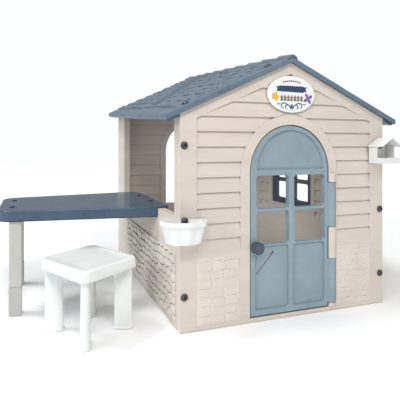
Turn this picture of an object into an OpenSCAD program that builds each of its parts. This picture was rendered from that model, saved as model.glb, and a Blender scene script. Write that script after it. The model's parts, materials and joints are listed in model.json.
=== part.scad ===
// Children's plastic playhouse with a counter table, a stool, a planter and a bird feeder.
// All lengths are in millimetres. The modules work in a house frame: X runs along the front
// wall from its left corner, Y runs from the front face to the back, Z is up from the ground.
// Every piece is then shifted so that the origin is the middle of the footprint of the whole.

/* [House] */
// outside width across the front wall
house_w = 1100; // [1000:10:1320]
// outside depth from the front face to the back face
house_d = 1196; // [996:4:1400]
// height of the front gable's point, under the roof
gable_z = 1163; // [1120:1:1396]
// thickness of every wall panel
wall_t = 40; // [34:1:48]
// rise of the roof for each millimetre across, both slopes alike
roof_slope = 0.448; // [0.40:0.002:0.50]
// how far the ridge climbs towards the back, in degrees
ridge_climb = 4.8; // [3:0.1:6]

/* [Roof] */
// how far each slab's eave reaches beyond the side wall
eave_out = 68; // [50:1:90]
// how far the slabs reach beyond the front and back walls
verge_out = 16; // [10:1:40]
// thickness of each roof slab, square to its slope
slab_t = 36; // [30:1:44]
// number of shingle courses on each slope
courses = 8; // [6:1:9]
// height of a shingle course's lower edge above the slab
course_h = 7; // [4:1:10]

/* [Door] */
// width of the doorway
door_w = 432; // [360:2:480]
// height at which the door's arch starts
door_spring = 672; // [640:2:700]
// height of the threshold under the door
sill_h = 19; // [15:1:24]
// gap between the door leaf and the doorway
door_gap = 4; // [3:0.5:5]
// thickness of the door leaf
leaf_t = 30; // [24:1:32]
// distance from the doorway's right edge to the hinge line
hinge_off = 21; // [20.5:0.5:23]
// radius of a hinge sleeve
sleeve_r = 20; // [18:0.5:20]
// radius of the hinge pin
pin_r = 5; // [4:0.5:6]
// radius across the corners of the door knob
knob_r = 29; // [24:1:31]

/* [Serving window] */
// height of the counter sill in the left wall
counter_z = 482; // [460:2:500]
// distance from the front face to the window's front jamb
jamb_front = 67; // [62:1:90]
// width of the plain post behind the window, at the back corner
post_back = 184; // [150:2:210]

/* [Side and back windows] */
// width of the shuttered window in the right wall
shut_w = 396; // [360:4:420]
// height of the shuttered window
shut_h = 324; // [300:2:360]
// height of its sill
shut_z = 396; // [380:2:420]
// thickness of a shutter leaf
shut_t = 26; // [22:1:28]
// width of the arched window in the back wall
arch_w = 398; // [360:2:440]
// height of that window's sill
arch_z = 366; // [340:2:400]
// height at which its arch starts
arch_spring = 757; // [720:1:790]

/* [Table] */
// how far the tabletop reaches out from the left wall
table_out = 748; // [640:2:898]
// half width of the tabletop at the wall
table_half = 311; // [270:1:330]
// half width of the tabletop at its outer end
table_end = 240; // [200:1:255]
// depth of the tabletop's skirt
skirt_h = 50; // [40:1:60]
// thickness of the tabletop's flat plate
plate_t = 8; // [6:1:10]
// where the table's middle line lies along the serving window, from its front jamb
table_at = 0.575; // [0.5:0.005:0.6]

/* [Stool] */
// side of the square seat
seat_w = 308; // [284:2:324]
// height of the seat
seat_z = 309; // [280:1:330]
// depth of the seat's skirt
seat_skirt = 44; // [36:1:50]
// turn of the stool, in degrees
seat_turn = 32; // [25:1:40]

/* [Planter and bird feeder] */
// width of the planter at its rim
pot_w = 204; // [180:2:210]
// depth of the planter from the wall
pot_d = 88; // [80:1:110]
// height of the planter
pot_h = 96; // [80:1:110]
// width of the bird feeder
feed_w = 112; // [104:1:120]
// depth of the bird feeder's tray
feed_d = 77; // [66:1:80]

/* [Boards and screws] */
// height of one siding board
board_h = 66.5; // [60:0.5:72]
// how far a board's upper edge lies behind its lower edge
board_d = 9; // [5:0.5:11]
// radius of the big moulded screw heads
head_r = 16.5; // [14:0.5:17]
// radius of the screws' shanks
shank_r = 6; // [5:0.5:7]

/* [Hidden] */
$fn = 48;
// clearance around a fixed screw or pin
fix_c = 0.05;
// clearance around a pin that something turns on
run_c = 0.07;
// gap under the ridge lip
lip_c = 0.2;
// gap between pieces that move past each other
move_c = 0.5;

mid_x = house_w / 2;
door_x0 = mid_x + 2 - door_w / 2;
door_x1 = door_x0 + door_w;
door_cx = (door_x0 + door_x1) / 2;
door_rad = door_w / 2;
hinge_x = door_x1 + hinge_off;
hinge_y = 11;
leaf_y = 4;
leaf_x0 = door_x0 + door_gap;
leaf_x1 = door_x1 - door_gap;
leaf_z0 = sill_h + door_gap;
leaf_rad = door_rad - door_gap;
knob_x = leaf_x0 + 28;
knob_z = leaf_z0 + 311;

pitch = atan(roof_slope);
slab_len = (mid_x + eave_out - slab_t / 2 * (1 + sin(pitch))) / cos(pitch);
slab_v = slab_t / cos(pitch);
screw_x = 20;
screw_low = 151;
screw_mid = 473;
screw_top = 792;
screw_len = 62;

board_z0 = 322;
back_board_h = board_h * 1.1;
panel_x = 78;
stone_top = 326;
shut_y = 671;
shut_leaf_w = (shut_w - 12) / 2;
shut_x1 = house_w - 4;
shut_x0 = shut_x1 - shut_t;
shut_pin_x = house_w - 12;
shut_pin_r = 4;
arch_rad = arch_w / 2;

window_end = house_d - post_back;
table_y = jamb_front + table_at * (window_end - jamb_front);
top_half = min(table_half, window_end - table_y - 14);
top_end = min(table_end, top_half - 50);
table_z = counter_z + plate_t;
table_in = wall_t + 34;
leg_x = -table_out + 52;
leg_w = 57;
leg_d = 50;
leg_out = top_end - 9.5;
leg_y0 = table_y - leg_out;
leg_y1 = table_y + leg_out - leg_d;
foot_h = 134;

stool_x = -357;
stool_y = 166;
stool_leg_off = 105;

pot_x = screw_x - 7;
pot_z = screw_mid + 8;
feed_x = house_w - 34;
feed_eave = 84;
feed_rise = 36;
feed_z = screw_top - 87;
hang_t = 4;

shift_x = (house_w + eave_out - table_out) / 2;
shift_y = (house_d + verge_out - pot_d) / 2;

cream = [0.87, 0.83, 0.77];
slate = [0.42, 0.48, 0.54];
mist = [0.58, 0.65, 0.69];
navy = [0.22, 0.27, 0.36];
white = [0.95, 0.95, 0.94];
stone_grey = [0.79, 0.79, 0.76];
dark = [0.16, 0.15, 0.16];

// ---------- shared shapes ----------

// moves a piece from the house frame to the frame of the whole set
module place() translate([-shift_x, -shift_y, 0]) children();

// a flat X-Z outline given thickness from y0 to y1
module slab_y(y0, y1) translate([0, y1, 0]) rotate([90, 0, 0]) linear_extrude(y1 - y0) children();

// a flat Y-Z outline given thickness from x0 to x1
module slab_x(x0, x1) translate([x0, 0, 0]) rotate([90, 0, 90]) linear_extrude(x1 - x0) children();

// rectangle with round corners, from its lower left corner
module rounded(x, z, w, h, r) {
  translate([x + r, z]) square([w - 2 * r, h]);
  translate([x, z + r]) square([w, h - 2 * r]);
  for (i = [0, 1])
    for (j = [0, 1])
      translate([x + r + i * (w - 2 * r), z + r + j * (h - 2 * r)]) circle(r = r);
}

// doorway outline: straight sides with a half circle on top
module arched(cx, z0, spring, rad) {
  translate([cx - rad, z0]) square([2 * rad, spring - z0]);
  translate([cx, spring]) circle(r = rad, $fn = 72);
}

// the frame of the roof: its origin is the front gable's point, and it climbs to the back
module roof_frame() translate([mid_x, 0, gable_z]) rotate([ridge_climb, 0, 0]) children();

// place along the roof's own length that lies over house depth y, at roof height z
function roof_y(y, z) = (y + z * sin(ridge_climb)) / cos(ridge_climb);

// all the space under the two roof slopes
module under_roof()
  roof_frame()
    slab_y(-300, house_d + 400)
      polygon([[-2 * house_w, -2 * house_w * roof_slope], [0, 0],
        [2 * house_w, -2 * house_w * roof_slope], [2 * house_w, -3000], [-2 * house_w, -3000]]);

// a screw along +Z: its head sits on z = 0 and its shank goes down
module screw(len) {
  difference() {
    union() {
      cylinder(r = head_r, h = 4);
      translate([0, 0, 4]) cylinder(r1 = head_r - 2, r2 = head_r - 6, h = 5);
      translate([0, 0, -len]) cylinder(r = shank_r, h = len + 1);
    }
    translate([0, 0, 4]) cylinder(r = 5, h = 6, $fn = 6);
  }
}

// the hole a screw needs
module screw_hole(len) translate([0, 0, -len - 0.5]) cylinder(r = shank_r + fix_c, h = len + 1.5);

// the three screw places up one corner of the front and back walls
module corner_places()
  for (x = [screw_x, house_w - screw_x])
    for (z = [screw_low, screw_mid, screw_top])
      translate([x, 0, z]) children();

// the nine screw places on the roof, each turned square to its slab
module roof_places()
  roof_frame() {
    for (side = [-1, 1])
      for (y = [18, house_d - 22])
        for (x = [110, mid_x - 33])
          roof_place(side * x, y) children();
    roof_place(-72, house_d * 0.455) children();
  }

// one place on top of the slab, at x across from the ridge and depth y
module roof_place(x, y)
  translate([x, roof_y(y, slab_v - roof_slope * abs(x)), slab_v - roof_slope * abs(x)])
    rotate([0, sign(x) * pitch, 0]) children();

// ---------- walls ----------

// end view of lapped boards to cut from a face at x = 0: each leans in towards its upper edge
module board_teeth(z0, z1, h)
  for (i = [0 : floor((z1 - z0) / h)])
    translate([0, z0 + i * h]) polygon([[-1, 0], [0, 0], [board_d, h], [-1, h]]);

// boards to cut from a face at y = 0, inside the outline given in X and Z
module lapped(z0, z1, h)
  intersection() {
    slab_x(-1, house_w + 1) board_teeth(z0, z1, h);
    slab_y(-2, board_d + 1) children();
  }

// where a gable wall carries boards: inside the corners and below the roof line
module gable_panel(x0, z0, drop) {
  top = gable_z - drop;
  side = top - roof_slope * (mid_x - x0);
  polygon([[x0, z0], [house_w - x0, z0], [house_w - x0, side], [mid_x, top], [x0, side]]);
}

// the front wall's boards keep clear of the door trim
module front_boards() lapped(board_z0, gable_z, board_h) difference() {
  gable_panel(panel_x, board_z0, 42);
  arched(door_cx, 0, door_spring, door_rad + 46);
}

// the back wall's boards keep clear of the window trim
module back_boards() lapped(board_z0 - 35, gable_z + 100, back_board_h) difference() {
  gable_panel(panel_x - 6, board_z0 - 35, -50);
  arched(mid_x, arch_z - 46, arch_spring, arch_rad + 44);
}

// front gable wall with the doorway, its hinge knuckles and the screw holes
module front_wall() place() color(cream)
  difference() {
    union() {
      intersection() {
        slab_y(0, wall_t) square([house_w, gable_z + 1]);
        under_roof();
      }
      translate([hinge_x, hinge_y, sill_h]) cylinder(r = sleeve_r, h = door_spring - 12 - sill_h);
    }
    slab_y(-60, wall_t + 1) arched(door_cx, sill_h, door_spring, door_rad);
    hinge_pockets();
    translate([hinge_x, hinge_y, -1]) {
      cylinder(r = pin_r + fix_c, h = door_spring - 13);
      cylinder(r = pin_r + 4.5, h = 8);
    }
    front_boards();
    translate([0, wall_t, 0]) mirror([0, 1, 0]) front_boards();
    corner_places() rotate([90, 0, 0]) screw_hole(screw_len);
    roof_places() screw_hole(screw_len);
  }

// the two height bands of the door's hinge sleeves: [bottom, top]
sleeve_bands = [[leaf_z0 + 16, leaf_z0 + 228], [leaf_z0 + 379, leaf_z0 + 592]];

// room in the wall for each sleeve and the web that joins it to the leaf
module hinge_pockets()
  for (b = sleeve_bands) {
    translate([hinge_x, hinge_y, b[0] - 1])
      cylinder(r = sleeve_r + 1.5, h = b[1] - b[0] + 2);
    translate([door_x1 - 1, -60, b[0] - 1])
      cube([hinge_off + 1, 60 + leaf_y + leaf_t, b[1] - b[0] + 2]);
  }

// back gable wall with its tall arched window
module back_wall() place() color(cream)
  difference() {
    intersection() {
      slab_y(house_d - wall_t, house_d) square([house_w, gable_z + 200]);
      under_roof();
    }
    slab_y(house_d - wall_t - 1, house_d + 1) arched(mid_x, arch_z, arch_spring, arch_rad);
    translate([0, house_d - wall_t, 0]) back_boards();
    translate([0, house_d, 0]) mirror([0, 1, 0]) back_boards();
    translate([0, house_d, 0]) corner_places() rotate([-90, 0, 0]) screw_hole(screw_len);
    roof_places() screw_hole(screw_len);
  }

// left wall: a low counter wall between a slim front post and a broad back post
module left_wall() place() color(cream)
  difference() {
    intersection() {
      slab_x(0, wall_t) difference() {
        translate([wall_t, 0]) square([house_d - 2 * wall_t, gable_z]);
        translate([jamb_front, counter_z]) square([window_end - jamb_front, gable_z]);
      }
      under_roof();
    }
    slab_x(-1, 1.5) stone_edge();
    slab_x(wall_t - 1.5, wall_t + 1) stone_edge();
    corner_places() rotate([90, 0, 0]) screw_hole(screw_len);
    translate([0, house_d, 0]) corner_places() rotate([-90, 0, 0]) screw_hole(screw_len);
  }

// the fine line round the field of stones under the counter
module stone_edge()
  difference() {
    translate([wall_t + 12, 30]) square([house_d - 302, stone_top - 30]);
    translate([wall_t + 15, 33]) square([house_d - 308, stone_top - 36]);
  }

// right wall with its shuttered window, the boards and the pivot holes
module right_wall() place() color(cream)
  difference() {
    intersection() {
      slab_x(house_w - wall_t, house_w) difference() {
        translate([wall_t, 0]) square([house_d - 2 * wall_t, gable_z + 100]);
        translate([shut_y - shut_w / 2, shut_z]) square([shut_w, shut_h]);
      }
      under_roof();
    }
    translate([house_w - wall_t, 0, 0]) right_boards();
    translate([house_w, 0, 0]) mirror([1, 0, 0]) right_boards();
    for (s = [-1, 1])
      translate([shut_pin_x, shut_y + s * (shut_w / 2 - 16), shut_z - 14])
        cylinder(r = shut_pin_r + fix_c, h = shut_h + 28);
    corner_places() rotate([90, 0, 0]) screw_hole(screw_len);
    translate([0, house_d, 0]) corner_places() rotate([-90, 0, 0]) screw_hole(screw_len);
  }

// boards to cut from a face at x = 0 of the right wall, clear of the window trim
module right_boards()
  intersection() {
    slab_y(0, house_d) board_teeth(board_z0, board_z0 + 7 * board_h, board_h);
    slab_x(-2, board_d + 1) difference() {
      translate([wall_t + 30, board_z0]) square([house_d - 250, 8 * board_h]);
      translate([shut_y - shut_w / 2 - 36, shut_z - 36]) square([shut_w + 72, shut_h + 72]);
    }
  }

// beam under the ridge, from the front gable to the back one
module ridge_beam() place() color(cream)
  difference() {
    intersection() {
      roof_frame() slab_y(-200, house_d + 300)
        polygon([[-66, -66 * roof_slope], [0, 0], [66, -66 * roof_slope], [66, -86], [-66, -86]]);
      translate([0, wall_t, 0]) cube([house_w, house_d - 2 * wall_t, 2 * gable_z]);
    }
    roof_places() screw_hole(screw_len);
  }

// ---------- roof ----------

// end view of one slab: a flat board with a round nose at the eave
module slab_outline() {
  intersection() {
    rotate(pitch) translate([-slab_len, 0]) square([slab_len + 60, slab_t]);
    translate([-2 * house_w, -house_w]) square([2 * house_w, 2 * house_w]);
  }
  rotate(pitch) translate([-slab_len, slab_t / 2]) circle(r = slab_t / 2);
}

// end view of the shingle courses: each lies lower at its upper edge
module course_outline() {
  run = (slab_len - 40 - 56) / courses;
  rotate(pitch)
    for (i = [0 : courses - 1])
      translate([-slab_len + 40 + i * run, slab_t - 1])
        polygon([[0, 0], [run + 0.01, 0], [run + 0.01, 1.5], [0, 1 + course_h]]);
}

// the slab and its field of shingles, as it lies left of the ridge
module slab_body() {
  slab_y(-200, house_d + 300) slab_outline();
  slab_y(roof_y(44, 0), roof_y(house_d - 44, 0)) course_outline();
}

// upright cut of both roof ends
module verge_cut()
  translate([-house_w, -verge_out, 0]) cube([3 * house_w, house_d + 2 * verge_out, 2 * gable_z]);

// flat round seats for the screw heads
module head_seats() roof_places() cylinder(r = head_r + 1.5, h = 14);

// left slab, with the lip that covers the ridge joint
module roof_left() place() color(slate)
  difference() {
    intersection() {
      roof_frame() {
        slab_body();
        slab_y(-200, house_d + 300)
          polygon([[-24, slab_v - 20], [-24, slab_v - 24 * roof_slope + 5],
            [-20, slab_v - 20 * roof_slope + 9], [0, slab_v + 10],
            [20, slab_v - 20 * roof_slope + 9], [24, slab_v - 24 * roof_slope + 5],
            [24, slab_v - 24 * roof_slope + lip_c], [0, slab_v + lip_c], [-10, slab_v - 10]]);
      }
      verge_cut();
    }
    head_seats();
    roof_places() screw_hole(screw_len);
  }

// right slab
module roof_right() place() color(slate)
  difference() {
    intersection() {
      roof_frame() mirror([1, 0, 0]) slab_body();
      verge_cut();
    }
    head_seats();
    roof_places() screw_hole(screw_len);
  }

// the screws that hold both slabs down
module roof_screws() place() color(dark) roof_places() screw(screw_len);

// ---------- wall screws ----------

// front screws that hold only the wall
module wall_screws_front() place() color(dark) {
  for (z = [screw_low, screw_top]) translate([screw_x, 0, z]) rotate([90, 0, 0]) screw(screw_len);
  for (z = [screw_low, screw_mid])
    translate([house_w - screw_x, 0, z]) rotate([90, 0, 0]) screw(screw_len);
}

// back screws
module wall_screws_back() place() color(dark)
  translate([0, house_d, 0]) corner_places() rotate([-90, 0, 0]) screw(screw_len);

// front screws that also hold the planter and the bird feeder, so they sit further out
module hanging_screws() place() color(dark) {
  translate([screw_x, -hang_t, screw_mid]) rotate([90, 0, 0]) screw(screw_len);
  translate([house_w - screw_x, -hang_t, screw_top]) rotate([90, 0, 0]) screw(screw_len);
}

// ---------- door ----------

// the four open panes, as [x, z, width, height]
pane_w = (leaf_x1 - leaf_x0 - 74) / 2;
pane_h = 150;
panel_in = 9;
pane_x = [leaf_x0 + 32, leaf_x0 + 59 + pane_w];
pane_z = [leaf_z0 + 320, leaf_z0 + 482];

// the closed panels pressed into both faces of the leaf
module door_recesses() {
  intersection() {
    translate([door_cx + 6, door_spring + 10]) circle(r = leaf_rad - 30, $fn = 72);
    translate([0, door_spring + 10]) square([house_w, house_w]);
  }
  for (i = [0, 1]) rounded(pane_x[i] - 6, leaf_z0 + 26, pane_w + 2, 286, 14);
}

// arched door leaf with its two hinge sleeves, four open panes and the letter slot
module door_leaf() place() color(mist)
  difference() {
    union() {
      difference() {
        slab_y(leaf_y, leaf_y + leaf_t) arched(door_cx, leaf_z0, door_spring, leaf_rad);
        slab_y(leaf_y - 1, leaf_y + panel_in) door_recesses();
        slab_y(leaf_y + leaf_t - panel_in, leaf_y + leaf_t + 1) door_recesses();
        for (x = pane_x)
          for (z = pane_z)
            slab_y(0, 60) rounded(x, z, pane_w, pane_h, 16);
      }
      for (b = sleeve_bands) {
        translate([hinge_x, hinge_y, b[0]]) cylinder(r = sleeve_r, h = b[1] - b[0]);
        translate([leaf_x1 - 6, leaf_y, b[0]])
          cube([hinge_x - leaf_x1 + 6, 18, b[1] - b[0]]);
      }
      translate([knob_x, leaf_y + leaf_t, knob_z]) rotate([90, 0, 0]) cylinder(r = 13, h = leaf_t);
    }
    translate([hinge_x, hinge_y, 0]) cylinder(r = pin_r + run_c, h = 2 * door_spring);
    translate([knob_x, 100, knob_z]) rotate([90, 0, 0]) cylinder(r = shank_r + run_c, h = 200);
    translate([leaf_x0 + 82, 0, leaf_z0 + 236])
      rotate([0, -46.7, 0]) translate([-65, 0, -5.5]) cube([130, 60, 11]);
  }

// the long pin of the door's hinge, pushed in from below, with its cap let into the wall's foot
module door_hinge_pin() place() color(dark) translate([hinge_x, hinge_y, 0]) {
  translate([0, 0, 3]) cylinder(r = pin_r + 4, h = 4);
  translate([0, 0, 6]) cylinder(r = pin_r, h = door_spring - 22);
}

// outer knob with the spindle that runs through the leaf
module door_knob_front() place() color(navy) translate([knob_x, leaf_y - move_c, knob_z])
  rotate([90, 0, 0]) {
    cylinder(r = 16, h = 9);
    translate([0, 0, 8]) cylinder(r = knob_r, h = 20, $fn = 8);
    translate([0, 0, 28]) cylinder(r = knob_r - 7, h = 5, $fn = 8);
    translate([0, 0, -leaf_t - 2 * move_c - 22]) cylinder(r = shank_r, h = leaf_t + 30);
  }

// inner knob, pushed onto the spindle's end
module door_knob_back() place() color(navy)
  translate([knob_x, leaf_y + leaf_t + move_c, knob_z]) rotate([-90, 0, 0])
    difference() {
      union() {
        cylinder(r = 16, h = 9);
        translate([0, 0, 8]) cylinder(r = knob_r - 7, h = 20, $fn = 8);
      }
      translate([0, 0, -1]) cylinder(r = shank_r + fix_c, h = 24);
    }

// ---------- shutters ----------

// outline of one shutter from its pivot edge: a frame with a bar, so two open lights
module shutter_outline() {
  light_h = (shut_h - 4 - 34 - 34 - 26) / 2;
  difference() {
    translate([0, shut_z + 2]) square([shut_leaf_w, shut_h - 4]);
    for (k = [0, 1])
      rounded(34, shut_z + 36 + k * (light_h + 26), shut_leaf_w - 64, light_h, 12);
  }
}

// one shutter, with the holes its pivot pins turn in
module shutter()
  difference() {
    slab_x(shut_x0, shut_x1) translate([-12, 0]) shutter_outline();
    translate([shut_pin_x, 0, shut_z]) {
      translate([0, 0, -1]) cylinder(r = shut_pin_r + run_c, h = 19);
      translate([0, 0, shut_h - 18]) cylinder(r = shut_pin_r + run_c, h = 19);
    }
  }

// shutter nearer the front wall
module shutter_front() place() color(navy)
  translate([0, shut_y - shut_w / 2 + 16, 0]) shutter();

// shutter nearer the back wall
module shutter_back() place() color(navy)
  translate([0, shut_y + shut_w / 2 - 16, 0]) mirror([0, 1, 0]) shutter();

// the four short pins that hold the shutters top and bottom
module shutter_pins() place() color(dark)
  for (s = [-1, 1])
    for (z = [shut_z - 13, shut_z + shut_h - 17])
      translate([shut_pin_x, shut_y + s * (shut_w / 2 - 16), z])
        cylinder(r = shut_pin_r, h = 30);

// ---------- plaque ----------

plaque_z = gable_z - 135;
plaque_t = 7;

// oval plaque on the front gable
module name_plaque() place() color(white)
  slab_y(-plaque_t, 0) translate([mid_x, plaque_z]) scale([1, 0.66]) circle(r = 128, $fn = 96);

// a print lying on the plaque
module print_on() slab_y(-plaque_t - 0.8, -plaque_t) translate([mid_x, plaque_z]) children();

// ribbon across the upper part, with swallow-tailed ends
module plaque_ribbon() place() color(navy)
  print_on() polygon([[-72, 18], [72, 18], [64, 31], [72, 44], [-72, 44], [-64, 31]]);

// five-petalled flower on the left
module plaque_flower() place() color([0.86, 0.72, 0.25])
  print_on() translate([-84, -12]) {
    for (a = [0 : 72 : 359]) rotate(a + 18) translate([9, 0]) circle(r = 6.5, $fn = 20);
    circle(r = 6, $fn = 20);
  }

// butterfly on the right
module plaque_butterfly() place() color([0.55, 0.42, 0.62])
  print_on() translate([86, -10]) {
    for (s = [-1, 1]) {
      translate([s * 7, 6]) circle(r = 8, $fn = 24);
      translate([s * 6, -7]) circle(r = 6, $fn = 24);
    }
    translate([-1.5, -14]) square([3, 28]);
  }

// a row of curls at the bottom, with a heart-like bud in the middle
module plaque_scroll() place() color(navy)
  print_on() translate([0, -48]) {
    for (s = [-1, 1])
      for (i = [0, 1]) translate([s * (20 + 22 * i), 4 * i]) difference() {
        circle(r = 11, $fn = 32);
        circle(r = 7, $fn = 32);
      }
    circle(r = 9, $fn = 24);
    translate([-60, -1.5]) square([120, 3]);
  }

// ---------- planter and bird feeder ----------

// plan of the planter at one level: three rounded lobes in front of a straight back
module lobes(w, d) {
  translate([-w / 2, -d * 0.5]) square([w, d * 0.5]);
  translate([0, -d + w * 0.27]) intersection() {
    circle(r = w * 0.27);
    translate([-w, -w]) square([2 * w, w]);
  }
  for (s = [-1, 1]) translate([s * w * 0.33, -d + w * 0.17 + 6]) intersection() {
    circle(r = w * 0.17);
    translate([-w, -w]) square([2 * w, w]);
  }
}

// trough-shaped planter; its back plate is held by one wall screw
module planter() place() color(white)
  difference() {
    translate([pot_x, 0, pot_z - pot_h]) difference() {
      union() {
        linear_extrude(pot_h) lobes(pot_w - 16, pot_d - 8);
        translate([0, 0, pot_h - 18]) linear_extrude(18) lobes(pot_w, pot_d);
      }
      translate([0, -hang_t, 3]) linear_extrude(pot_h) lobes(pot_w - 24, pot_d - 8 - hang_t - 3);
    }
    translate([screw_x, 1, screw_mid]) rotate([90, 0, 0]) cylinder(r = shank_r + fix_c, h = 8);
  }

// open-fronted bird feeder body with a low tray, held by one wall screw
module feeder_body() place() color(white)
  difference() {
    union() {
      slab_y(-48, 0) feeder_gable(feed_w / 2);
      translate([feed_x - feed_w / 2, -feed_d, feed_z]) cube([feed_w, feed_d, 27]);
    }
    slab_y(-49, -hang_t) intersection() {
      feeder_gable(feed_w / 2 - 5);
      translate([0, feed_z + 5]) square([2 * house_w, house_w]);
    }
    translate([feed_x - feed_w / 2 + 4, -feed_d + 4, feed_z + 5])
      cube([feed_w - 8, feed_d - 4 - hang_t, 50]);
    translate([house_w - screw_x, 1, screw_top]) rotate([90, 0, 0])
      cylinder(r = shank_r + fix_c, h = 8);
  }

// front view of the feeder's house shape
module feeder_gable(half)
  translate([feed_x, feed_z])
    polygon([[-half, 0], [half, 0], [half, feed_eave + feed_rise * (1 - 2 * half / feed_w)],
      [0, feed_eave + feed_rise], [-half, feed_eave + feed_rise * (1 - 2 * half / feed_w)]]);

// two-slope roof of the feeder, lying on the slopes of its body
module feeder_roof() place() color(white) {
  half = feed_w / 2 + 8;
  drop = feed_rise * 2 * half / feed_w;
  slab_y(2 - pot_d, -0.5) translate([feed_x, feed_z + feed_eave + feed_rise])
    polygon([[0, 0], [half, -drop], [half + 2, 6 - drop], [0, 7], [-half - 2, 6 - drop],
      [-half, -drop]]);
}

// ---------- table ----------

// half width of the tabletop at distance x from the wall (x is negative outside)
function half_at(x) = top_half + x * (top_half - top_end) / table_out;

// plan of the tabletop with rounded corners, drawn smaller all round by m
module top_plan(m) {
  r = 70;
  xo = -table_out + m;
  xi = table_in - m;
  ho = half_at(xo) - m;
  hi = half_at(xi) - m;
  rm = r - m;
  translate([0, table_y])
    union() {
      polygon([[xo, -ho + rm], [xo + rm, -ho], [xi - rm, -hi], [xi, -hi + rm],
        [xi, hi - rm], [xi - rm, hi], [xo + rm, ho], [xo, ho - rm]]);
      for (s = [-1, 1]) {
        translate([xo + rm, s * (ho - rm)]) circle(r = rm);
        translate([xi - rm, s * (hi - rm)]) circle(r = rm);
      }
    }
}

// tabletop: a flat plate with a skirt, notched to hook over the counter sill
module table_top() place() color([0.33, 0.40, 0.49])
  difference() {
    translate([0, 0, table_z - skirt_h]) linear_extrude(skirt_h) top_plan(0);
    translate([0, 0, table_z - skirt_h - 1])
      linear_extrude(skirt_h + 1 - plate_t) intersection() {
        top_plan(6);
        union() {
          translate([-table_out, 0]) square([table_out - 7, house_d]);
          translate([wall_t, 0]) square([table_in, house_d]);
        }
      }
    translate([-move_c, 0, table_z - skirt_h - 1])
      cube([wall_t + 2 * move_c, house_d, skirt_h + 1 - plate_t]);
    translate([wall_t, 0, table_z - skirt_h - 1])
      cube([table_in, house_d, skirt_h + 1 - plate_t - 12]);
    for (x = [-table_out + 62, 24])
      for (s = [-1, 1])
        translate([x, table_y + s * 115, table_z - 3]) cylinder(r = 13, h = 4);
  }

// one leg post of the table
module table_leg(y) translate([leg_x, y, foot_h])
  cube([leg_w, leg_d, table_z - plate_t - foot_h]);

// leg nearer the front
module table_leg_front() place() color(stone_grey) table_leg(leg_y0);

// leg nearer the back
module table_leg_back() place() color(stone_grey) table_leg(leg_y1);

// the two feet under the table's legs, a little broader than the posts
module table_feet() place() color([0.76, 0.75, 0.72])
  for (y = [leg_y0, leg_y1])
    translate([leg_x - 1, y - 1, 0]) cube([leg_w + 2, leg_d + 2, foot_h]);

// ---------- stool ----------

// the stool's own frame: middle of the seat, turned
module stool_frame() translate([stool_x, stool_y, 0]) rotate([0, 0, seat_turn]) children();

// square seat with round corners and a skirt, hollow underneath
module stool_seat() place() color(white) stool_frame()
  difference() {
    translate([0, 0, seat_z - seat_skirt]) linear_extrude(seat_skirt)
      rounded(-seat_w / 2, -seat_w / 2, seat_w, seat_w, 34);
    translate([0, 0, seat_z - seat_skirt - 1]) linear_extrude(seat_skirt - 4)
      rounded(-seat_w / 2 + 5, -seat_w / 2 + 5, seat_w - 10, seat_w - 10, 29);
  }

// the four corners of the stool, each turned outwards along its diagonal
module stool_corners()
  for (a = [45 : 90 : 359]) rotate([0, 0, a]) translate([stool_leg_off * sqrt(2), 0, 0]) children();

// plan of one leg: a long oval along the diagonal
module leg_plan(l, w) {
  translate([-l / 2 + w / 2, -w / 2]) square([l - w, w]);
  for (s = [-1, 1]) translate([s * (l - w) / 2, 0]) circle(r = w / 2);
}

// the four hollow legs, up to the underside of the seat
module stool_legs() place() color(white) stool_frame() stool_corners()
  difference() {
    translate([0, 0, 14]) linear_extrude(seat_z - 5 - 14) leg_plan(66, 36);
    translate([0, 0, 13]) linear_extrude(40) leg_plan(58, 28);
  }

// broad foot plates under the stool's legs
module stool_feet() place() color(white) stool_frame() stool_corners()
  linear_extrude(14) leg_plan(80, 46);

front_wall();
back_wall();
left_wall();
right_wall();
ridge_beam();
roof_left();
roof_right();
roof_screws();
wall_screws_front();
wall_screws_back();
hanging_screws();
door_leaf();
door_hinge_pin();
door_knob_front();
door_knob_back();
shutter_front();
shutter_back();
shutter_pins();
name_plaque();
plaque_ribbon();
plaque_flower();
plaque_butterfly();
plaque_scroll();
planter();
feeder_body();
feeder_roof();
table_top();
table_leg_front();
table_leg_back();
table_feet();
stool_seat();
stool_legs();
stool_feet();
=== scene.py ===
# %% [markdown]
# # A plastic playhouse, piece by piece
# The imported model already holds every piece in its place, in metres. This lesson leaves the
# places alone and gives the pieces their looks: rounded edges, stones, shingles and finishes.
# A moulded thing never has a knife edge, so rounding comes first and matters most.

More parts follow.
